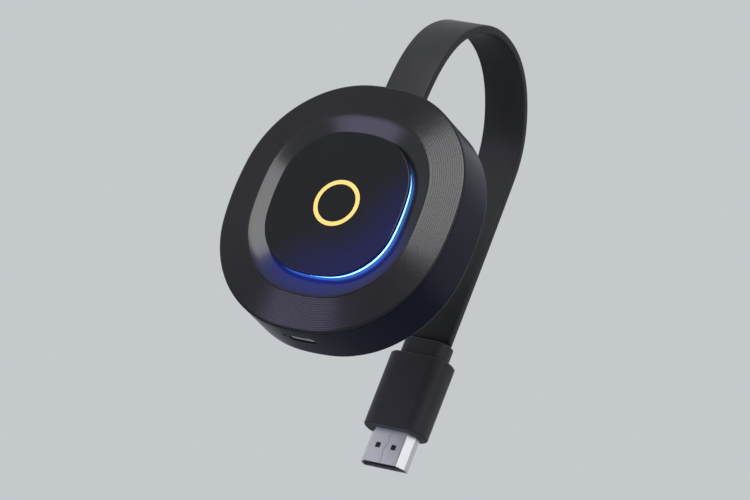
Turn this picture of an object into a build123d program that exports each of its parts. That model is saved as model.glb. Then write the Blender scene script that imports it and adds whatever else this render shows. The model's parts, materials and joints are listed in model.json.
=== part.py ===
from build123d import *
from math import atan2, degrees, hypot, radians, sqrt, tan
import os

# A streaming media dongle: a rounded disc with a lit cap, and a flat lead that loops back
# to its HDMI plug.  Millimetres.  The origin is at the middle of the plug's mouth, +Z is up
# the plug, and the disc's front looks along -Y.

# ---- driving dimensions: the disc -------------------------------------------------------
disc_half_w = 34.15          # half width of the disc
disc_half_h = 36.1           # half height of the disc
disc_depth = 15.2            # from the ring's outer edge to the back face
disc_behind = 65.8           # the ring's outer edge stands this far in front of the plug
disc_above = 46.2            # the disc's centre stands this far above the plug's mouth
side_ratio = 2.05            # side arc radius over half width
top_ratio = 1.95             # top arc radius over half height
corner_ratio = 0.913         # corner arc radius over the smaller half size
wall = 1.6                   # rear case wall and floor
back_fillet = 0.9
seam = 0.8                   # height of the ring's rim below its outer edge

ridge_half_w = 25.0
ridge_half_h = 26.5
ridge_height = 2.2           # ridge between the outer slope and the dish
dish_height = 0.8            # inner edge of the dish
cap_half_w = 19.85
cap_half_h = 20.9
cap_top = 2.86
cap_thick = 0.9
ridge_side_ratio = 2.67
ridge_top_ratio = 2.04
ridge_corner_ratio = 0.875
cap_side_ratio = 2.65
cap_top_ratio = 1.8
cap_corner_ratio = 0.821
cap_fillet = 0.35
mark_r = 6.7                 # plain gold ring let into the cap
mark_line = 1.2
mark_sunk = 0.2
mark_proud = 0.05

# ---- driving dimensions: inside ---------------------------------------------------------
fit_gap = 0.15               # clearance between parts that slot together
glue = 0.1
guide_inset = 0.6            # light guide's side, in from the cap's edge
guide_wall = 1.6
flange_out = 0.6             # the guide's flange, out from the cap's edge
flange_thick = 1.2
guide_roof = 1.3
lip_thick = 1.2
lip_depth = 1.4
board_front = -3.75          # height of the board's front face
board_thick = 1.0
board_inset = 3.4
boss_at = 20.0               # screw posts at plus and minus this, both ways
boss_r = 2.2
screw_r = 0.8
head_r = 1.7
head_high = 1.0

# ---- driving dimensions: ports, reset button and lead outlet ---------------------------
usb_w = 7.5
usb_high = 2.5
usb_long = 5.6
usb_metal = 0.25
usb_sunk = 0.5               # mouth of the port below the case's outside
usb_clear = 0.2
pinhole_x = -5.6
pinhole_r = 0.6
switch_w = 3.2
switch_deep = 2.6
switch_high = 1.6
stem_w = 1.4
stem_high = 0.8
stem_out = 0.9
stem_in = 0.6
stem_travel = 0.25
stem_gap = 0.1

lead_w = 12.8                # flat lead
lead_thick = 2.3
lead_edge_r = 0.6
lead_back = 8.9              # its mid-plane, behind the ring's outer edge
slot_gap = 0.4               # round the lead in the case's slot
gland_sunk = 1.1             # grommet's face below the case's outside
tail_thick = 1.8

# ---- driving dimensions: the plug -------------------------------------------------------
shell_w = 13.9               # HDMI type A metal shell
shell_thick = 4.45
shell_flat_w = 10.1          # its narrower face
shell_out = 9.9              # length that shows
shell_in = 5.0               # length inside the moulded body
shell_metal = 0.35
shell_edge_r = 0.4
latch_hole = 1.5
latch_x = 2.45
latch_up = 5.0
body_w = 19.0
body_thick = 10.0
body_side_r = 4.6
body_long = 22.0
collar_w = 14.3
collar_thick = 7.4
collar_side_r = 3.4
collar_long = 5.1
contact_count = 19
contact_pitch = 0.5

# ---- derived frames and outlines --------------------------------------------------------
# "face" lies in the ring's outer edge: its x is +X, its y is +Z and it looks along -Y.
face = Plane(origin=(0, -disc_behind, disc_above), x_dir=(1, 0, 0), z_dir=(0, -1, 0))
floor_in = -disc_depth + wall
board_back = board_front - board_thick
collar_top = shell_out + body_long + collar_long
bottom_z = disc_above - disc_half_h
top_z = disc_above + disc_half_h


def sizes(half_w, half_h, ratios, inset=0.0):
    """Half sizes and the side, top and corner radii of an eight-arc outline."""
    side, top, corner = ratios
    radii = (side * half_w, top * half_h, corner * min(half_w, half_h))
    return [value - inset for value in (half_w, half_h, *radii)]


def outline(half_w, half_h, side_r, top_r, corner_r):
    """A rounded outline: two side arcs, a top and a bottom arc, four tangent corner arcs."""
    side_x = half_w - side_r
    top_y = half_h - top_r
    reach_side = side_r - corner_r
    reach_top = top_r - corner_r
    span = hypot(side_x, top_y)
    along = (reach_side**2 - reach_top**2 + span**2) / (2 * span)
    across = sqrt(reach_side**2 - along**2)
    ux, uy = -side_x / span, top_y / span
    corner_x = side_x + ux * along - uy * across
    corner_y = uy * along + ux * across
    if corner_x < 0 or corner_y < 0:
        corner_x = side_x + ux * along + uy * across
        corner_y = uy * along - ux * across
    low = degrees(atan2(corner_y, corner_x - side_x))
    high = degrees(atan2(corner_y - top_y, corner_x))
    with BuildSketch() as shape:
        with BuildLine():
            CenterArc((side_x, 0), side_r, -low, 2 * low)
            CenterArc((corner_x, corner_y), corner_r, low, high - low)
            CenterArc((0, top_y), top_r, high, 180 - 2 * high)
            CenterArc((-corner_x, corner_y), corner_r, 180 - high, high - low)
            CenterArc((-side_x, 0), side_r, 180 - low, 2 * low)
            CenterArc((-corner_x, -corner_y), corner_r, 180 + low, high - low)
            CenterArc((0, -top_y), top_r, 180 + high, 180 - 2 * high)
            CenterArc((corner_x, -corner_y), corner_r, 360 - high, high - low)
        make_face()
    return shape.sketch


disc_ratios = (side_ratio, top_ratio, corner_ratio)
cap_ratios = (cap_side_ratio, cap_top_ratio, cap_corner_ratio)
ridge_ratios = (ridge_side_ratio, ridge_top_ratio, ridge_corner_ratio)


def disc(inset=0.0):
    return outline(*sizes(disc_half_w, disc_half_h, disc_ratios, inset))


def cap_shape(inset=0.0):
    return outline(*sizes(cap_half_w, cap_half_h, cap_ratios, inset))


def ridge_shape():
    return outline(*sizes(ridge_half_w, ridge_half_h, ridge_ratios))


def board_y(height):
    """Row Y of a height on the disc's own axis."""
    return -disc_behind - height


def save(part, name):
    part.label = name
    export_step(part, f"parts/{name}.step")


os.makedirs("parts", exist_ok=True)
bosses = [(x, y) for x in (-boss_at, boss_at) for y in (-boss_at, boss_at)]

# ---- lead outlet heights ----------------------------------------------------------------
gland_top = top_z - gland_sunk
flange_top = top_z - wall - 0.8
grommet_low = flange_top - 1.2
header_top = disc_above + 24.0
header_deep = 4.0
header_w = 15.0
header_high = 3.0
clamp_z = disc_above + 28.0
clamp_deep = 3.2
clamp_post_x = 9.4
clamp_post_r = 1.6
clamp_thick = 1.2
tail_front = -lead_back + tail_thick / 2
tail_back = -lead_back - tail_thick / 2

# ---- rear case --------------------------------------------------------------------------
usb_height = board_back - usb_high / 2
usb_centre = Plane((0, board_y(usb_height), bottom_z), x_dir=(1, 0, 0), z_dir=(0, 0, 1))
hole_height = board_back - switch_high / 2
hole_centre = Plane((pinhole_x, board_y(hole_height), bottom_z), x_dir=(1, 0, 0), z_dir=(0, 0, 1))
outlet = Plane((0, board_y(-lead_back), top_z - 3), x_dir=(1, 0, 0), z_dir=(0, 0, 1))

with BuildPart() as rear_case:
    with BuildSketch(face.offset(-disc_depth)):
        add(disc())
    extrude(amount=disc_depth - seam)
    fillet(rear_case.edges().group_by(Axis.Y)[-1], back_fillet)
    with BuildSketch(face.offset(floor_in)):
        add(disc(wall))
    extrude(amount=disc_depth, mode=Mode.SUBTRACT)
    with BuildSketch(face.offset(floor_in)):
        with Locations(*bosses):
            Circle(boss_r)
    extrude(amount=board_back - floor_in)
    with BuildSketch(face.offset(floor_in)):
        with Locations(*bosses):
            Circle(screw_r)
    extrude(amount=board_back - floor_in, mode=Mode.SUBTRACT)
    with BuildSketch(face.offset(floor_in)):
        with Locations((0, clamp_z - disc_above)):
            Rectangle(lead_w, clamp_deep)
    extrude(amount=tail_back - floor_in)
    with BuildSketch(face.offset(floor_in)):
        with Locations((-clamp_post_x, clamp_z - disc_above), (clamp_post_x, clamp_z - disc_above)):
            Circle(clamp_post_r)
    extrude(amount=tail_front - floor_in)
    with BuildSketch(face.offset(floor_in)):
        with Locations((-clamp_post_x, clamp_z - disc_above), (clamp_post_x, clamp_z - disc_above)):
            Circle(screw_r)
    extrude(amount=tail_front - floor_in, mode=Mode.SUBTRACT)
    with BuildSketch(usb_centre.offset(-1)):
        RectangleRounded(usb_w + 2 * usb_clear, usb_high + 2 * usb_clear, 1.0)
    extrude(amount=wall + 3, mode=Mode.SUBTRACT)
    with BuildSketch(hole_centre.offset(-1)):
        Circle(pinhole_r)
    extrude(amount=wall + 3, mode=Mode.SUBTRACT)
    with BuildSketch(outlet):
        RectangleRounded(lead_w + 2 * slot_gap, lead_thick + 2 * slot_gap, lead_edge_r + slot_gap)
    extrude(amount=5, mode=Mode.SUBTRACT)
save(rear_case.part, "rear_case")

# ---- front ring, light guide and cap ----------------------------------------------------
with BuildPart() as front_ring:
    with BuildSketch(face.offset(-seam)):
        add(disc())
    extrude(amount=seam)
    with BuildSketch(face):
        add(disc())
    with BuildSketch(face.offset(ridge_height)):
        add(ridge_shape())
    loft(ruled=True)
    with BuildSketch(face.offset(dish_height)):
        add(cap_shape(guide_inset / 2))
    with BuildSketch(face.offset(ridge_height)):
        add(ridge_shape())
    loft(ruled=True, mode=Mode.SUBTRACT)
    with BuildSketch(face.offset(-seam)):
        add(cap_shape(guide_inset - fit_gap))
    extrude(amount=seam + ridge_height, mode=Mode.SUBTRACT)
    with BuildSketch(face.offset(-seam - lip_depth)):
        add(disc(wall + fit_gap))
        add(disc(wall + fit_gap + lip_thick), mode=Mode.SUBTRACT)
    extrude(amount=lip_depth)
save(front_ring.part, "front_ring")

guide_top = cap_top - cap_thick - glue
with BuildPart() as light_guide:
    with BuildSketch(face.offset(-seam - flange_thick)):
        add(cap_shape(-flange_out))
    extrude(amount=flange_thick)
    with BuildSketch(face.offset(-seam)):
        add(cap_shape(guide_inset))
    extrude(amount=guide_top + seam)
    with BuildSketch(face.offset(-seam - flange_thick)):
        add(cap_shape(guide_inset + guide_wall))
    extrude(amount=guide_top - guide_roof + seam + flange_thick, mode=Mode.SUBTRACT)
save(light_guide.part, "light_guide")

with BuildPart() as cap_adhesive:
    with BuildSketch(face.offset(guide_top)):
        add(cap_shape(guide_inset + 0.4))
    extrude(amount=glue)
save(cap_adhesive.part, "cap_adhesive")

with BuildPart() as cap:
    with BuildSketch(face.offset(cap_top - cap_thick)):
        add(cap_shape())
    extrude(amount=cap_thick)
    fillet(cap.edges().group_by(Axis.Y)[0], cap_fillet)
    with BuildSketch(face.offset(cap_top - mark_sunk)):
        Circle(mark_r)
        Circle(mark_r - mark_line, mode=Mode.SUBTRACT)
    extrude(amount=mark_sunk, mode=Mode.SUBTRACT)
save(cap.part, "cap")

with BuildPart() as mark_ring:
    with BuildSketch(face.offset(cap_top - mark_sunk)):
        Circle(mark_r)
        Circle(mark_r - mark_line, mode=Mode.SUBTRACT)
    extrude(amount=mark_sunk + mark_proud)
save(mark_ring.part, "mark_ring")

# ---- main board and what it carries -----------------------------------------------------
with BuildPart() as main_board:
    with BuildSketch(face.offset(board_back)):
        add(disc(board_inset))
        with Locations(*bosses):
            Circle(screw_r + 0.1, mode=Mode.SUBTRACT)
    extrude(amount=board_thick)
save(main_board.part, "main_board")


def blocks(name, base, height, places, width, length, edge=0.15):
    """A group of equal rectangular pieces that stand on the height base."""
    with BuildPart() as group:
        with BuildSketch(face.offset(base)):
            with Locations(*places):
                RectangleRounded(width, length, edge)
        extrude(amount=height)
    save(group.part, name)


def screws(name, base, depth, places):
    """Pan-head screws: heads stand on the height base, shanks run down into the posts."""
    with BuildPart() as group:
        with BuildSketch(face.offset(base)):
            with Locations(*places):
                Circle(head_r)
        extrude(amount=head_high)
        with BuildSketch(face.offset(base)):
            with Locations(*places):
                Circle(screw_r - 0.02)
        extrude(amount=-depth)
        with BuildSketch(face.offset(base + head_high)):
            with Locations(*places):
                Rectangle(2 * head_r * 0.6, 0.4)
                Rectangle(0.4, 2 * head_r * 0.6)
        extrude(amount=-0.5, mode=Mode.SUBTRACT)
    save(group.part, name)


chip_high = 1.0
pad_high = 0.5
spread_high = 0.4
blocks("processor", board_front, chip_high, [(0, 3)], 13, 13)
blocks("thermal_pad", board_front + chip_high, pad_high, [(0, 3)], 12, 12)
blocks("heat_spreader", board_front + chip_high + pad_high, spread_high, [(0, 1)], 24, 26, 1.5)
blocks("memory_chips", board_front, 0.9, [(-11.5, 3), (11.5, 3)], 7.5, 11)
blocks("flash_chip", board_front, chip_high, [(0, -11.5)], 11.5, 11)
blocks("crystal", board_front, 0.8, [(10, -7)], 3.2, 2.5)
led_spots = [(17.8, 0), (-17.8, 0), (0, 18.6), (0, -18.6)]
led_spots += [(x, y) for x in (-13.6, 13.6) for y in (-14.0, 14.0)]
blocks("leds", board_front, 0.9, led_spots, 1.6, 1.6)
blocks("antenna_left", board_front, 1.2, [(-27.5, 0)], 3, 14, 0.4)
blocks("antenna_right", board_front, 1.2, [(27.5, 0)], 3, 14, 0.4)
cap_spots = [(x, -24.5) for x in (-10.5, -7.5, -4.5, 4.5, 7.5, 10.5)]
blocks("capacitors", board_front, 0.8, cap_spots, 1.2, 2.0)
blocks("inductors", board_back - 2.0, 2.0, [(9, -18), (15, -18), (9, -12)], 4, 4, 0.6)
wifi_thick = 0.8
blocks("wifi_board", board_back - wifi_thick, wifi_thick, [(-13.5, 2)], 13, 13)
blocks("wifi_shield", board_back - wifi_thick - 1.5, 1.5, [(-13.5, 2)], 11.5, 11.5, 0.5)
blocks("rear_plate", floor_in, 0.8, [(0, -2)], 33, 44, 3)
screws("board_screws", board_front, board_thick + 5, bosses)

# ---- micro-USB port ---------------------------------------------------------------------
usb_mouth = usb_centre.offset(usb_sunk)
with BuildPart() as usb_shell:
    with BuildSketch(usb_mouth):
        RectangleRounded(usb_w, usb_high, 0.8)
    extrude(amount=usb_long)
    with BuildSketch(usb_mouth):
        RectangleRounded(usb_w - 2 * usb_metal, usb_high - 2 * usb_metal, 0.55)
    extrude(amount=usb_long, mode=Mode.SUBTRACT)
save(usb_shell.part, "usb_shell")

usb_block = 1.4
tongue_thick = 0.6
with BuildPart() as usb_tongue:
    with BuildSketch(usb_mouth.offset(usb_long - usb_block)):
        RectangleRounded(usb_w - 2 * usb_metal, usb_high - 2 * usb_metal, 0.55)
    extrude(amount=usb_block)
    with BuildSketch(usb_mouth.offset(0.8)):
        Rectangle(4.6, tongue_thick)
    extrude(amount=usb_long - usb_block - 0.8)
save(usb_tongue.part, "usb_tongue")

with BuildPart() as usb_contacts:
    with BuildSketch(usb_mouth.offset(1.1)):
        with Locations((0, tongue_thick / 2 + 0.06)):
            with GridLocations(0.8, 1, 5, 1):
                Rectangle(0.4, 0.12)
    extrude(amount=usb_long - usb_block - 1.1)
save(usb_contacts.part, "usb_contacts")

# ---- reset button: a side-push switch behind the pinhole --------------------------------
switch_face = hole_centre.offset(board_inset + 0.4)
with BuildPart() as switch_body:
    with BuildSketch(switch_face):
        Rectangle(switch_w, switch_high)
    extrude(amount=switch_deep)
    with BuildSketch(switch_face):
        Rectangle(stem_w + 2 * stem_gap, stem_high + 2 * stem_gap)
    extrude(amount=stem_in + stem_travel + stem_gap, mode=Mode.SUBTRACT)
save(switch_body.part, "switch_body")

with BuildPart() as switch_stem:
    with BuildSketch(switch_face.offset(-stem_out)):
        RectangleRounded(stem_w, stem_high, 0.2)
    extrude(amount=stem_out + stem_in)
save(switch_stem.part, "switch_stem")

# ---- lead outlet and its inner end ------------------------------------------------------
grommet_plane = Plane((0, board_y(-lead_back), grommet_low), x_dir=(1, 0, 0), z_dir=(0, 0, 1))
with BuildPart() as cable_grommet:
    with BuildSketch(grommet_plane):
        RectangleRounded(lead_w + 4, lead_thick + 3.2, 1.2)
    extrude(amount=flange_top - grommet_low)
    with BuildSketch(grommet_plane):
        RectangleRounded(lead_w + slot_gap, lead_thick + slot_gap, lead_edge_r)
    extrude(amount=gland_top - grommet_low)
save(cable_grommet.part, "cable_grommet")

tail_plane = Plane((0, board_y(-lead_back), header_top), x_dir=(1, 0, 0), z_dir=(0, 0, 1))
with BuildPart() as cable_tail:
    with BuildSketch(tail_plane):
        RectangleRounded(lead_w - 0.6, tail_thick, 0.4)
    extrude(amount=grommet_low - header_top)
save(cable_tail.part, "cable_tail")

header_y = header_top - header_deep / 2 - disc_above
blocks("cable_header", board_back - header_high, header_high, [(0, header_y)], header_w, header_deep, 0.3)
plug_back = tail_back - 0.3
blocks("header_plug", plug_back, board_back - header_high - plug_back, [(0, header_y)],
       header_w - 0.6, header_deep, 0.3)

post_spots = [(-clamp_post_x, clamp_z - disc_above), (clamp_post_x, clamp_z - disc_above)]
with BuildPart() as cable_clamp:
    with BuildSketch(face.offset(tail_front)):
        with Locations((0, clamp_z - disc_above)):
            SlotOverall(2 * clamp_post_x + 2 * clamp_post_r + 0.6, clamp_deep + 0.6)
        with Locations(*post_spots):
            Circle(screw_r + 0.1, mode=Mode.SUBTRACT)
    extrude(amount=clamp_thick)
save(cable_clamp.part, "cable_clamp")

with BuildPart() as clamp_screws:
    with BuildSketch(face.offset(tail_front + clamp_thick)):
        with Locations(*post_spots):
            Circle(head_r - 0.2)
    extrude(amount=0.6)
    with BuildSketch(face.offset(tail_front + clamp_thick)):
        with Locations(*post_spots):
            Circle(screw_r - 0.02)
    extrude(amount=-clamp_thick - 3.5)
save(clamp_screws.part, "clamp_screws")

# ---- flat lead --------------------------------------------------------------------------
lead_y = board_y(-lead_back)
route = [
    (0, lead_y, gland_top),
    (0, lead_y, 99.9),
    (0, -40.2, 116.9),
    (0, -16.8, 116.9),
    (0, -0.7, 99.7),
    (0, -0.2, 78.5),
    (0, 0, 58.0),
    (0, 0, collar_top),
]
corners = []
points = [Vector(*point) for point in route]
for before, here, after in zip(points, points[1:], points[2:]):
    turn = (here - before).get_angle(after - here)
    shorter = min((here - before).length, (after - here).length)
    corners.append(0.45 * shorter / tan(radians(turn / 2)))
print("lead bend radii", [round(radius, 1) for radius in corners])

with BuildPart() as ribbon_cable:
    with BuildLine() as lead_line:
        FilletPolyline(*route, radius=corners)
    with BuildSketch(Plane(route[0], x_dir=(1, 0, 0), z_dir=(0, 0, 1))) as lead_section:
        RectangleRounded(lead_w, lead_thick, lead_edge_r)
    sweep()
lead_length = lead_line.wires()[0].length
print("lead length", round(lead_length, 2))
print("lead volume over section times length",
      round(ribbon_cable.part.volume / (lead_section.sketch.area * lead_length), 4))
save(ribbon_cable.part, "ribbon_cable")

# ---- plug -------------------------------------------------------------------------------


def shell_outline(inset=0.0):
    """HDMI shell section: full width at the back, chamfered to its narrower front face."""
    half_w = shell_w / 2
    half_t = shell_thick / 2
    flat = shell_flat_w / 2
    with BuildSketch() as section:
        with BuildLine():
            Polyline(
                (-half_w, half_t),
                (half_w, half_t),
                (half_w, -0.1),
                (flat, -half_t),
                (-flat, -half_t),
                (-half_w, -0.1),
                close=True,
            )
        make_face()
        fillet(section.vertices(), shell_edge_r)
        if inset:
            offset(amount=-inset, mode=Mode.REPLACE)
    return section.sketch


fit_in_plug = 0.03
with BuildPart() as plug_shell:
    with BuildSketch(Plane.XY):
        add(shell_outline())
    extrude(amount=shell_out + shell_in)
    with BuildSketch(Plane.XY):
        add(shell_outline(shell_metal))
    extrude(amount=shell_out + shell_in, mode=Mode.SUBTRACT)
    with BuildSketch(Plane.XZ.offset(shell_thick / 2 - 1)):
        with Locations((-latch_x, latch_up), (latch_x, latch_up)):
            Rectangle(latch_hole, latch_hole)
    extrude(amount=2, mode=Mode.SUBTRACT)
save(plug_shell.part, "plug_shell")

cavity_w = 10.0
cavity_thick = 2.0
cavity_deep = 8.0
tongue_sunk = 0.6
with BuildPart() as plug_insulator:
    with BuildSketch(Plane.XY.offset(tongue_sunk)):
        add(shell_outline(shell_metal + fit_in_plug))
    extrude(amount=shell_out + shell_in - tongue_sunk)
    with BuildSketch(Plane.XY.offset(tongue_sunk)):
        with Locations((0, 0.1)):
            Rectangle(cavity_w, cavity_thick)
    extrude(amount=cavity_deep, mode=Mode.SUBTRACT)
save(plug_insulator.part, "plug_insulator")

contact_thick = 0.15
with BuildPart() as plug_contacts:
    with BuildSketch(Plane.XY.offset(tongue_sunk + 0.3)):
        with Locations((0, 0.1 - cavity_thick / 2 + contact_thick / 2)):
            with GridLocations(contact_pitch, 1, contact_count, 1):
                Rectangle(contact_pitch * 0.6, contact_thick)
    extrude(amount=cavity_deep - 0.3)
save(plug_contacts.part, "plug_contacts")

with BuildPart() as plug_body:
    with BuildSketch(Plane.XY.offset(shell_out)):
        RectangleRounded(body_w, body_thick, body_side_r)
    extrude(amount=body_long)
    chamfer(plug_body.edges().group_by(Axis.Z)[0] + plug_body.edges().group_by(Axis.Z)[-1], 0.35)
    with BuildSketch(Plane.XY.offset(shell_out)):
        add(shell_outline(-fit_in_plug))
    extrude(amount=shell_in, mode=Mode.SUBTRACT)
save(plug_body.part, "plug_body")

with BuildPart() as plug_collar:
    with BuildSketch(Plane.XY.offset(shell_out + body_long)):
        RectangleRounded(collar_w, collar_thick, collar_side_r)
    extrude(amount=collar_long)
    chamfer(plug_collar.edges().group_by(Axis.Z)[-1], 0.3)
save(plug_collar.part, "plug_collar")
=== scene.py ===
import json
from math import atan2, cos, pi, radians, sin, sqrt

import bmesh
import bpy
from mathutils import Matrix, Vector


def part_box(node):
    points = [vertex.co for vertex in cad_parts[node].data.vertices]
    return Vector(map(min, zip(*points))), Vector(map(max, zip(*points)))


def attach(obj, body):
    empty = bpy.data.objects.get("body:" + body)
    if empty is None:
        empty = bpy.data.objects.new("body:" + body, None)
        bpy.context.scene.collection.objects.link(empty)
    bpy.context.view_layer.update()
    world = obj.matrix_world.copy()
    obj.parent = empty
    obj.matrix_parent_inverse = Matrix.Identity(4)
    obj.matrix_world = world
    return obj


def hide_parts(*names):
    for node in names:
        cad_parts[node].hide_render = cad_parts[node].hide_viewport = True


# A streaming media dongle: grooved disc, lit cap, flat lead and HDMI plug.  Metres, row frame:
# +X to the viewer's right, -Y out of the front, +Z up; the origin is the plug's mouth.
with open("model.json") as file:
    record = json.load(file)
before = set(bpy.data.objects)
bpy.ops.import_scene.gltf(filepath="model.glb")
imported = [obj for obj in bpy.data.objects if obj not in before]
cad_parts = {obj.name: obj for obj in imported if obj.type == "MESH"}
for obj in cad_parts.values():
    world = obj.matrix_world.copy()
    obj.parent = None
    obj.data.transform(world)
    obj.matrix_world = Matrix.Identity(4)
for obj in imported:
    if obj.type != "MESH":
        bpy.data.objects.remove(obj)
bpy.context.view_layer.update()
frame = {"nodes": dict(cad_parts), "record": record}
MM = 0.001
scene = bpy.context.scene

case_low, case_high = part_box("rear_case")
ring_low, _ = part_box("front_ring")
centre_z = (case_low[2] + case_high[2]) / 2
RIDGE_HEIGHT = 2.2 * MM          # the ridge, in front of the ring's outer edge
LIP_DEPTH = 1.4 * MM             # the lip that reaches back into the rear case
ring_plane = ring_low[1] + RIDGE_HEIGHT          # row Y of the ring's outer edge
SEAM = case_low[1] - ring_plane
disc_centre = Vector((0, ring_plane, centre_z))

# ---- camera -----------------------------------------------------------------------------
IMAGE_WIDTH = 750
FOCAL_PIXELS = 5000
PIXELS_PER_METRE = 3806          # at the aim point's distance
view_right = Vector((0.843, 0.411, 0.348)).normalized()
view_forward = Vector((-0.516, 0.802, 0.302)).normalized()
view_up = view_right.cross(view_forward).normalized()
view_right = view_forward.cross(view_up).normalized()
AIM_RIGHT = 8.90 * MM
AIM_DOWN = 11.11 * MM
aim = disc_centre + view_right * AIM_RIGHT - view_up * AIM_DOWN

camera_data = bpy.data.cameras.new("camera")
camera_data.sensor_width = 36.0
camera_data.lens = camera_data.sensor_width * FOCAL_PIXELS / IMAGE_WIDTH
camera = bpy.data.objects.new("camera", camera_data)
scene.collection.objects.link(camera)
axes = Matrix((view_right, view_up, -view_forward)).transposed().to_4x4()
camera.matrix_world = Matrix.Translation(aim - view_forward * FOCAL_PIXELS / PIXELS_PER_METRE) @ axes
scene.camera = camera


# ---- materials --------------------------------------------------------------------------
def principled(name, color, rough, metal=0.0, specular=0.5):
    """A Principled material; what is the same all over goes on the shader's own sockets."""
    material = bpy.data.materials.new(name)
    material.use_nodes = True
    shader = material.node_tree.nodes["Principled BSDF"]
    shader.inputs["Base Color"].default_value = (*color, 1)
    shader.inputs["Roughness"].default_value = rough
    shader.inputs["Metallic"].default_value = metal
    shader.inputs["Specular IOR Level"].default_value = specular
    return material, material.node_tree, shader


def node(tree, kind, **values):
    made = tree.nodes.new(kind)
    for key, value in values.items():
        setattr(made, key, value)
    return made


def mottle(tree, shader, color, rough, scale, spread=0.25, bump=0.02, depth=0.00005):
    """Fine variation of colour and roughness, with a moulded grain in the bump."""
    place = node(tree, "ShaderNodeTexCoord")
    noise = node(tree, "ShaderNodeTexNoise")
    noise.inputs["Scale"].default_value = scale
    noise.inputs["Detail"].default_value = 6
    tree.links.new(place.outputs["Object"], noise.inputs["Vector"])
    ramp = node(tree, "ShaderNodeMapRange")
    ramp.inputs["To Min"].default_value = rough * (1 - spread)
    ramp.inputs["To Max"].default_value = rough * (1 + spread)
    tree.links.new(noise.outputs["Fac"], ramp.inputs["Value"])
    tree.links.new(ramp.outputs["Result"], shader.inputs["Roughness"])
    mix = node(tree, "ShaderNodeMix", data_type="RGBA")
    mix.inputs["A"].default_value = (*[c * (1 - spread / 2) for c in color], 1)
    mix.inputs["B"].default_value = (*[min(1, c * (1 + spread / 2)) for c in color], 1)
    tree.links.new(noise.outputs["Fac"], mix.inputs["Factor"])
    tree.links.new(mix.outputs["Result"], shader.inputs["Base Color"])
    grain = node(tree, "ShaderNodeTexNoise")
    grain.inputs["Scale"].default_value = scale * 12
    tree.links.new(place.outputs["Object"], grain.inputs["Vector"])
    bumps = node(tree, "ShaderNodeBump")
    bumps.inputs["Strength"].default_value = bump
    bumps.inputs["Distance"].default_value = depth
    tree.links.new(grain.outputs["Fac"], bumps.inputs["Height"])
    tree.links.new(bumps.outputs["Normal"], shader.inputs["Normal"])


def finish_of(name, color, rough, metal=0.0, specular=0.5, scale=120, spread=0.25, bump=0.1):
    """A mottled material with nothing else in it."""
    material, tree, shader = principled(name, color, rough, metal, specular)
    mottle(tree, shader, color, rough, scale, spread, bump)
    return material


def lit_side(tree, start, full, middle=-45):
    """0 to 1 round the disc: 1 near the middle of the lit arc, given in degrees."""
    place = node(tree, "ShaderNodeTexCoord")
    offset = node(tree, "ShaderNodeVectorMath", operation="SUBTRACT")
    offset.inputs[1].default_value = disc_centre
    flat = node(tree, "ShaderNodeVectorMath", operation="MULTIPLY")
    flat.inputs[1].default_value = (1, 0, 1)
    unit = node(tree, "ShaderNodeVectorMath", operation="NORMALIZE")
    dot = node(tree, "ShaderNodeVectorMath", operation="DOT_PRODUCT")
    dot.inputs[1].default_value = (cos(radians(middle)), 0, sin(radians(middle)))
    ramp = node(tree, "ShaderNodeMapRange", interpolation_type="SMOOTHSTEP")
    ramp.inputs["From Min"].default_value = start
    ramp.inputs["From Max"].default_value = full
    tree.links.new(place.outputs["Object"], offset.inputs[0])
    tree.links.new(offset.outputs[0], flat.inputs[0])
    tree.links.new(flat.outputs[0], unit.inputs[0])
    tree.links.new(unit.outputs[0], dot.inputs[0])
    tree.links.new(dot.outputs["Value"], ramp.inputs["Value"])
    return ramp.outputs["Result"], flat.outputs[0]


def glow(tree, shader, color, strength, amount):
    """Emission of one colour whose strength follows a node output."""
    scaled = node(tree, "ShaderNodeMath", operation="MULTIPLY")
    scaled.inputs[1].default_value = strength
    tree.links.new(amount, scaled.inputs[0])
    shader.inputs["Emission Color"].default_value = (*color, 1)
    tree.links.new(scaled.outputs[0], shader.inputs["Emission Strength"])


def radial(tree, flat, near, far):
    """1 at the distance near from the disc's axis, falling to 0 at far."""
    length = node(tree, "ShaderNodeVectorMath", operation="LENGTH")
    ramp = node(tree, "ShaderNodeMapRange", interpolation_type="SMOOTHSTEP")
    ramp.inputs["From Min"].default_value = far
    ramp.inputs["From Max"].default_value = near
    tree.links.new(flat, length.inputs[0])
    tree.links.new(length.outputs["Value"], ramp.inputs["Value"])
    return ramp.outputs["Result"]


def product(tree, first, second):
    """The product of two node outputs."""
    both = node(tree, "ShaderNodeMath", operation="MULTIPLY")
    tree.links.new(first, both.inputs[0])
    tree.links.new(second, both.inputs[1])
    return both.outputs[0]


# The light guide is a lit part of the dongle. The blue on the dish and the cap and the gold mark's
# emission are painted light: glow painted on parts that are no lamp.
GUIDE_BLUE = (0.10, 0.30, 1.0)
PAINTED_DISH_BLUE = (0.0, 0.03, 0.9)
PAINTED_CAP_BLUE = (0.02, 0.02, 1.0)
GUIDE_STRENGTH = 8.0
PAINTED_DISH_GLOW = 0.2
PAINTED_CAP_GLOW = 0.06
PAINTED_MARK_GLOW = 0.45

ring_finish = finish_of("ring_plastic", (0.011, 0.010, 0.014), 0.2, specular=0.36, scale=90, bump=0.02)
case_finish = finish_of("case_plastic", (0.009, 0.008, 0.028), 0.3, specular=0.12, scale=90, bump=0.03)

dish_color = (0.016, 0.016, 0.018)
dish_finish, tree, shader = principled("dish_plastic", dish_color, 0.16, specular=0.38)
mottle(tree, shader, dish_color, 0.16, 90, 0.2, 0.03)
# Painted light: a blue glow painted on the dish as emission. It is strongest towards the bottom, a
# little to the right, and near the cap, and stands in for the light guide's glow on the dish.
lit, flat = lit_side(tree, 0.2, 0.95, -75)
glow(tree, shader, PAINTED_DISH_BLUE, PAINTED_DISH_GLOW, product(tree, lit, radial(tree, flat, 0.019, 0.032)))

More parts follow.
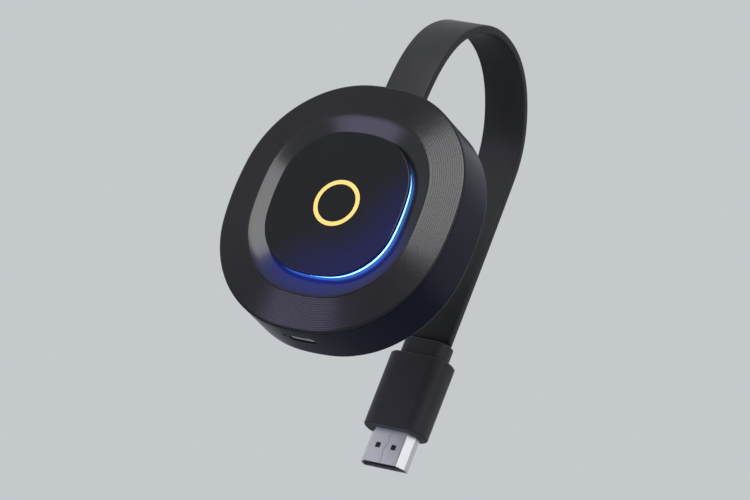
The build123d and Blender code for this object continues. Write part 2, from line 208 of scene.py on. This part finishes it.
cap_color = (0.008, 0.008, 0.010)
cap_finish, tree, shader = principled("gloss_black", cap_color, 0.12, specular=0.3)
mottle(tree, shader, cap_color, 0.12, 60, 0.2, 0.02)
# Painted light: a faint blue glow painted on the cap as emission. It is strongest at the cap's outer
# edge on the lower right arc and stands in for the light guide's glow under the cap.
lit, flat = lit_side(tree, -0.1, 1.0)
glow(tree, shader, PAINTED_CAP_BLUE, PAINTED_CAP_GLOW, product(tree, lit, radial(tree, flat, 0.021, 0.004)))

guide_finish, tree, shader = principled("light_guide", (0.1, 0.2, 0.6), 0.35)
mottle(tree, shader, (0.1, 0.2, 0.6), 0.35, 200, 0.2, 0.02)
lit, flat = lit_side(tree, -0.12, 0.5)
glow(tree, shader, GUIDE_BLUE, GUIDE_STRENGTH, lit)

gold_color = (1.0, 0.66, 0.22)
gold_finish, tree, shader = principled("gold_inlay", gold_color, 0.3, metal=0.9)
mottle(tree, shader, gold_color, 0.3, 150, 0.1, 0.02)
# Painted light: an even orange glow painted on the gold mark as emission, so that it reads bright. The
# mark is no lamp.
shader.inputs["Emission Color"].default_value = (1.0, 0.62, 0.18, 1)
shader.inputs["Emission Strength"].default_value = PAINTED_MARK_GLOW

lead_finish = finish_of("lead_jacket", (0.036, 0.036, 0.038), 0.42, specular=0.22, scale=220, bump=0.05)
plug_finish = finish_of("plug_plastic", (0.056, 0.054, 0.063), 0.48, specular=0.28, scale=300,
                        bump=0.08)
nickel_finish = finish_of("nickel", (0.70, 0.70, 0.71), 0.34, metal=1.0, scale=500, spread=0.15,
                          bump=0.05)
dark_finish = finish_of("seam_dark", (0.06, 0.06, 0.06), 0.5)
chip_finish = finish_of("chip", (0.02, 0.02, 0.02), 0.5, scale=400)
steel_finish = finish_of("steel", (0.6, 0.6, 0.6), 0.3, metal=1.0, scale=400, spread=0.15)
board_finish = finish_of("board", (0.02, 0.12, 0.06), 0.35, scale=300)
contact_finish = finish_of("contact_gold", (0.9, 0.62, 0.25), 0.28, metal=1.0, scale=400, spread=0.1)
copper_finish = finish_of("copper", (0.75, 0.4, 0.25), 0.35, metal=1.0, scale=200)
ceramic_finish = finish_of("ceramic", (0.5, 0.42, 0.33), 0.5, scale=400)
port_finish = finish_of("port_metal", (0.85, 0.85, 0.83), 0.5, metal=0.0, scale=400, spread=0.1)
rubber_finish = finish_of("rubber", (0.02, 0.02, 0.02), 0.65, scale=300)
pad_finish = finish_of("pad", (0.35, 0.4, 0.5), 0.7, scale=200)
led_finish = finish_of("led", (0.8, 0.8, 0.7), 0.4, scale=400)

BY_SLOT = {
    "ring_plastic": ring_finish, "gloss_black": cap_finish, "gold": contact_finish,
    "adhesive": pad_finish, "light_guide": guide_finish, "case_plastic": case_finish,
    "steel": steel_finish, "board": board_finish, "chip": chip_finish, "pad": pad_finish,
    "copper": copper_finish, "led": led_finish, "ceramic": ceramic_finish, "rubber": rubber_finish,
    "lead": lead_finish, "nickel": nickel_finish, "plug_plastic": plug_finish,
}
for part in frame["record"]["subparts"]:
    mesh = frame["nodes"][part["node"]].data
    mesh.materials.clear()
    mesh.materials.append(BY_SLOT[part["material_slot"]])
frame["nodes"]["mark_ring"].data.materials[0] = gold_finish
for inside_port in ("usb_shell", "usb_tongue"):
    frame["nodes"][inside_port].data.materials[0] = port_finish


# ---- flat lead --------------------------------------------------------------------------
def new_piece(name, mesh, *finishes):
    """An object of this mesh in the scene, with these materials."""
    piece = bpy.data.objects.new(name, mesh)
    scene.collection.objects.link(piece)
    for finish in finishes:
        mesh.materials.append(finish)
    return piece


LEAD_WIDTH = 12.8 * MM
LEAD_THICK = 2.3 * MM
LEAD_EDGE = 0.55 * MM
LEAD_ROUTE = [
    (0, -0.0569, 0.0812),
    (0, -0.0569, 0.0999),
    (0, -0.0402, 0.1169),
    (0, -0.0168, 0.1169),
    (0, -0.0007, 0.0997),
    (0, -0.0002, 0.0785),
    (0, 0, 0.058),
    (0, 0, 0.037),
]


def smooth_line(points, steps=14):
    """Points along an order 3 NURBS spline with these control points."""
    curve = bpy.data.curves.new("route", "CURVE")
    curve.dimensions = "3D"
    curve.resolution_u = steps
    spline = curve.splines.new("NURBS")
    spline.points.add(len(points) - 1)
    for control, point in zip(spline.points, points):
        control.co = (*point, 1)
    spline.order_u = 3
    spline.use_endpoint_u = True
    holder = bpy.data.objects.new("route", curve)
    scene.collection.objects.link(holder)
    line = bpy.data.meshes.new_from_object(holder)
    found = [vertex.co.copy() for vertex in line.vertices]
    bpy.data.objects.remove(holder)
    bpy.data.meshes.remove(line)
    return found


def rounded_section(width, thick, edge, steps=5):
    """Corner points of a rounded rectangle, in order."""
    points = []
    for sign_x, sign_y, start in ((1, 1, 0), (-1, 1, 90), (-1, -1, 180), (1, -1, 270)):
        for step in range(steps + 1):
            turn = radians(start + 90 * step / steps)
            x = sign_x * (width / 2 - edge) + edge * cos(turn)
            y = sign_y * (thick / 2 - edge) + edge * sin(turn)
            points.append((x, y))
    return points


def flat_tube(name, line, section):
    """A closed tube of one section along a line in a plane of constant X."""
    work = bmesh.new()
    rings = []
    for index, point in enumerate(line):
        before = line[max(index - 1, 0)]
        after = line[min(index + 1, len(line) - 1)]
        along = (after - before).normalized()
        out = Vector((1, 0, 0)).cross(along).normalized()
        rings.append([work.verts.new(point + Vector((x, 0, 0)) + out * y) for x, y in section])
    count = len(section)
    for ring, following in zip(rings, rings[1:]):
        for step in range(count):
            other = (step + 1) % count
            work.faces.new((ring[step], ring[other], following[other], following[step]))
    work.faces.new(list(reversed(rings[0])))
    work.faces.new(rings[-1])
    bmesh.ops.recalc_face_normals(work, faces=work.faces)
    mesh = bpy.data.meshes.new(name)
    work.to_mesh(mesh)
    work.free()
    mesh.shade_smooth()
    return mesh


lead_line = smooth_line(LEAD_ROUTE)
lead_mesh = flat_tube("flat_lead", lead_line, rounded_section(LEAD_WIDTH, LEAD_THICK, LEAD_EDGE))
for polygon in lead_mesh.polygons:
    polygon.use_smooth = len(polygon.vertices) == 4      # not the two end caps
lead = new_piece("flat_lead", lead_mesh, lead_finish)
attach(lead, "player")
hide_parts("ribbon_cable")


# ---- front ring -------------------------------------------------------------------------
def outline_radius(angle, half_w, half_h, ratios, inset=0.0):
    """Distance from the axis to an eight-arc outline at an angle."""
    side_r = ratios[0] * half_w - inset
    top_r = ratios[1] * half_h - inset
    corner_r = ratios[2] * half_w - inset
    side_x = half_w - inset - side_r
    top_y = half_h - inset - top_r
    reach_side = side_r - corner_r
    reach_top = top_r - corner_r
    span = sqrt(side_x**2 + top_y**2)
    along = (reach_side**2 - reach_top**2 + span**2) / (2 * span)
    across = sqrt(reach_side**2 - along**2)
    ux, uy = -side_x / span, top_y / span
    corner_x = side_x + ux * along - uy * across
    corner_y = uy * along + ux * across
    if corner_x < 0 or corner_y < 0:
        corner_x = side_x + ux * along + uy * across
        corner_y = uy * along - ux * across
    low = atan2(corner_y, corner_x - side_x)
    high = atan2(corner_y - top_y, corner_x)
    from_side = atan2(side_r * sin(low), side_x + side_r * cos(low))
    from_top = atan2(top_y + top_r * sin(high), top_r * cos(high))
    x, y = abs(cos(angle)), abs(sin(angle))
    folded = atan2(y, x)
    if folded < from_side:
        mid, radius = (side_x, 0), side_r
    elif folded > from_top:
        mid, radius = (0, top_y), top_r
    else:
        mid, radius = (corner_x, corner_y), corner_r
    towards = mid[0] * x + mid[1] * y
    return towards + sqrt(towards**2 - mid[0]**2 - mid[1]**2 + radius**2)


# Outlines: half width and half height in mm, and the side, top and corner arcs' ratios.
DISC = (34.15, 36.1, (2.05, 1.95, 0.913))
RIDGE = (25.0, 26.5, (2.67, 2.04, 0.875))
CAP = (19.85, 20.9, (2.65, 1.8, 0.821))
GROOVES = 15
GROOVE_DEPTH = 0.06
GROOVE_SHAPE = [(0.0, 0), (0.58, 0), (0.68, GROOVE_DEPTH), (0.9, GROOVE_DEPTH)]    # place, dip
BAND_FROM = 0.045            # the grooved band, as shares of the slope
BAND_TO = 0.965
AROUND = 480
DISH_EDGE = 0.8              # height of the dish's inner edge
DISH_INSET = 0.3             # the dish's inner edge, inside the cap's outline
HOLE_INSET = 0.45            # the opening under the cap
HEIGHT = RIDGE_HEIGHT / MM
RIM = -SEAM / MM             # height of the ring's back rim
RIM_INSET = 0.22             # the shadow line and the rounded front edge
LIP_OUTER = 1.75             # the lip's two faces, inside the disc's outline
LIP_INNER = 2.95


def ring_profile():
    """(first outline, its inset, second outline, its inset, share of the second, height)
    rows once round the ring's section, with the first and last rows of the dish."""
    profile = [(DISC, RIM_INSET, DISC, 0, 0, RIM), (DISC, RIM_INSET, DISC, 0, 0, RIM + 0.14)]
    profile += [(DISC, 0.0, DISC, 0, 0, RIM + 0.24), (DISC, 0.0, DISC, 0, 0, -0.26)]
    profile += [(DISC, 0.07, DISC, 0, 0, -0.12), (DISC, RIM_INSET, DISC, 0, 0, 0.0)]
    pitch = (BAND_TO - BAND_FROM) / GROOVES
    for groove in range(GROOVES):
        for place, dip in GROOVE_SHAPE:
            share = BAND_FROM + (groove + place) * pitch
            profile.append((DISC, 0, RIDGE, 0, share, share * HEIGHT - dip))
    profile += [(DISC, 0, RIDGE, 0, 0.975, 0.972 * HEIGHT), (DISC, 0, RIDGE, 0, 0.99, 0.983 * HEIGHT)]
    dish_from = len(profile)
    for share in (0.02, 0.05, 0.3, 0.6, 0.9, 0.97, 1.0):
        height = HEIGHT + (DISH_EDGE - HEIGHT) * share
        height -= 0.02 if share < 0.03 else 0
        profile.append((RIDGE, 0, CAP, DISH_INSET, share, height))
    profile.append((CAP, DISH_INSET + 0.05, CAP, 0, 0, DISH_EDGE - 0.06))
    dish_to = len(profile)
    profile += [(CAP, HOLE_INSET, CAP, 0, 0, DISH_EDGE - 0.1), (CAP, HOLE_INSET, CAP, 0, 0, RIM)]
    lip_back = RIM - LIP_DEPTH / MM
    profile += [(DISC, LIP_INNER, CAP, 0, 0, RIM), (DISC, LIP_INNER, CAP, 0, 0, lip_back)]
    profile += [(DISC, LIP_OUTER, CAP, 0, 0, lip_back), (DISC, LIP_OUTER, CAP, 0, 0, RIM)]
    return profile, dish_from, dish_to


def lathe(name, profile, dish_from, dish_to):
    """A closed ring through the profile; the faces between the two rows are the dish."""
    work = bmesh.new()
    rings = []
    for first, first_in, second, second_in, share, height in profile:
        ring = []
        for step in range(AROUND):
            angle = 2 * pi * step / AROUND
            radius = outline_radius(angle, *first, first_in)
            if share:
                radius += share * (outline_radius(angle, *second, second_in) - radius)
            x = radius * cos(angle) * MM
            z = radius * sin(angle) * MM
            ring.append(work.verts.new((x, ring_plane - height * MM, centre_z + z)))
        rings.append(ring)
    count = len(rings)
    for index, ring in enumerate(rings):
        following = rings[(index + 1) % count]
        for step in range(AROUND):
            other = (step + 1) % AROUND
            face = work.faces.new((ring[step], ring[other], following[other], following[step]))
            face.material_index = 1 if dish_from <= index < dish_to else 0
    bmesh.ops.recalc_face_normals(work, faces=work.faces)
    mesh = bpy.data.meshes.new(name)
    work.to_mesh(mesh)
    work.free()
    mesh.shade_smooth()
    mesh.set_sharp_from_angle(angle=radians(32))
    return mesh


ring_mesh = lathe("grooved_ring", *ring_profile())
ring = new_piece("grooved_ring", ring_mesh, ring_finish, dish_finish)
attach(ring, "player")
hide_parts("front_ring")

# ---- plug shell's folded seam -----------------------------------------------------------
SEAM_STEPS = [(0.6, 9.6), (0.0, 7.6), (0.5, 6.6), (-0.5, 3.4), (0.0, 2.6), (0.0, 0.05)]
SEAM_WIDTH = 0.1 * MM
SEAM_PROUD = 0.004 * MM
shell_low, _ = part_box("plug_shell")


def seam_strip():
    """A hairline strip over the joint in the shell's front face."""
    work = bmesh.new()
    rows = []
    for x, z in SEAM_STEPS:
        left = work.verts.new((x * MM - SEAM_WIDTH / 2, shell_low[1] - SEAM_PROUD, z * MM))
        right = work.verts.new((x * MM + SEAM_WIDTH / 2, shell_low[1] - SEAM_PROUD, z * MM))
        rows.append((left, right))
    for above, below in zip(rows, rows[1:]):
        work.faces.new((above[0], below[0], below[1], above[1]))
    bmesh.ops.solidify(work, geom=work.faces[:], thickness=SEAM_PROUD)
    mesh = bpy.data.meshes.new("shell_seam")
    work.to_mesh(mesh)
    work.free()
    return mesh


seam = new_piece("shell_seam", seam_strip(), dark_finish)
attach(seam, "player")

# ---- lights, world, floor ---------------------------------------------------------------
BACKGROUND = (0.558, 0.584, 0.604)


def panel(name, towards, distance, width, height, power, color=(1, 1, 1)):
    """A soft rectangular light that faces the disc."""
    data = bpy.data.lights.new(name, "AREA")
    data.shape = "RECTANGLE"
    data.size = width
    data.size_y = height
    data.energy = power
    data.color = color
    lamp = bpy.data.objects.new(name, data)
    scene.collection.objects.link(lamp)
    towards = Vector(towards).normalized()
    lamp.location = disc_centre + towards * distance
    lamp.rotation_euler = (-towards).to_track_quat("-Z", "Y").to_euler()
    return lamp


panel("key", (0.0, -0.86, 0.46), 1.1, 0.62, 0.6, 6.8)
panel("side", (0.86, -0.4, 0.3), 1.2, 0.3, 0.6, 0.9)
panel("low", (-0.516, -0.851, -0.096), 1.1, 0.32, 0.28, 0.9, (0.66, 0.6, 1.0))
panel("under", (0.2, -0.5, -0.8), 1.1, 0.4, 0.4, 4)

world = bpy.data.worlds.new("studio")
scene.world = world
world.use_nodes = True
tree = world.node_tree
base = tree.nodes["Background"]
base.inputs["Color"].default_value = (0.75, 0.77, 0.8, 1)
base.inputs["Strength"].default_value = 0.42
shown = node(tree, "ShaderNodeBackground")
shown.inputs["Color"].default_value = (*BACKGROUND, 1)
path = node(tree, "ShaderNodeLightPath")
shown_to = path.outputs["Is Camera Ray"]
for ray in ("Is Glossy Ray", "Is Transmission Ray"):
    either = node(tree, "ShaderNodeMath", operation="MAXIMUM")
    tree.links.new(shown_to, either.inputs[0])
    tree.links.new(path.outputs[ray], either.inputs[1])
    shown_to = either.outputs[0]
mix = node(tree, "ShaderNodeMixShader")
tree.links.new(shown_to, mix.inputs["Fac"])
tree.links.new(base.outputs[0], mix.inputs[1])
tree.links.new(shown.outputs[0], mix.inputs[2])
tree.links.new(mix.outputs[0], tree.nodes["World Output"].inputs["Surface"])

FLOOR_Z = -0.48
FLOOR_SIZE = 8
bpy.ops.mesh.primitive_grid_add(x_subdivisions=4, y_subdivisions=4, size=FLOOR_SIZE,
                                location=(0, 0, FLOOR_Z))
floor = bpy.context.object
floor.name = "floor"
floor.data.materials.append(finish_of("floor_paint", BACKGROUND, 0.8, scale=3, spread=0.02, bump=0.01))

scene.view_settings.view_transform = "Standard"
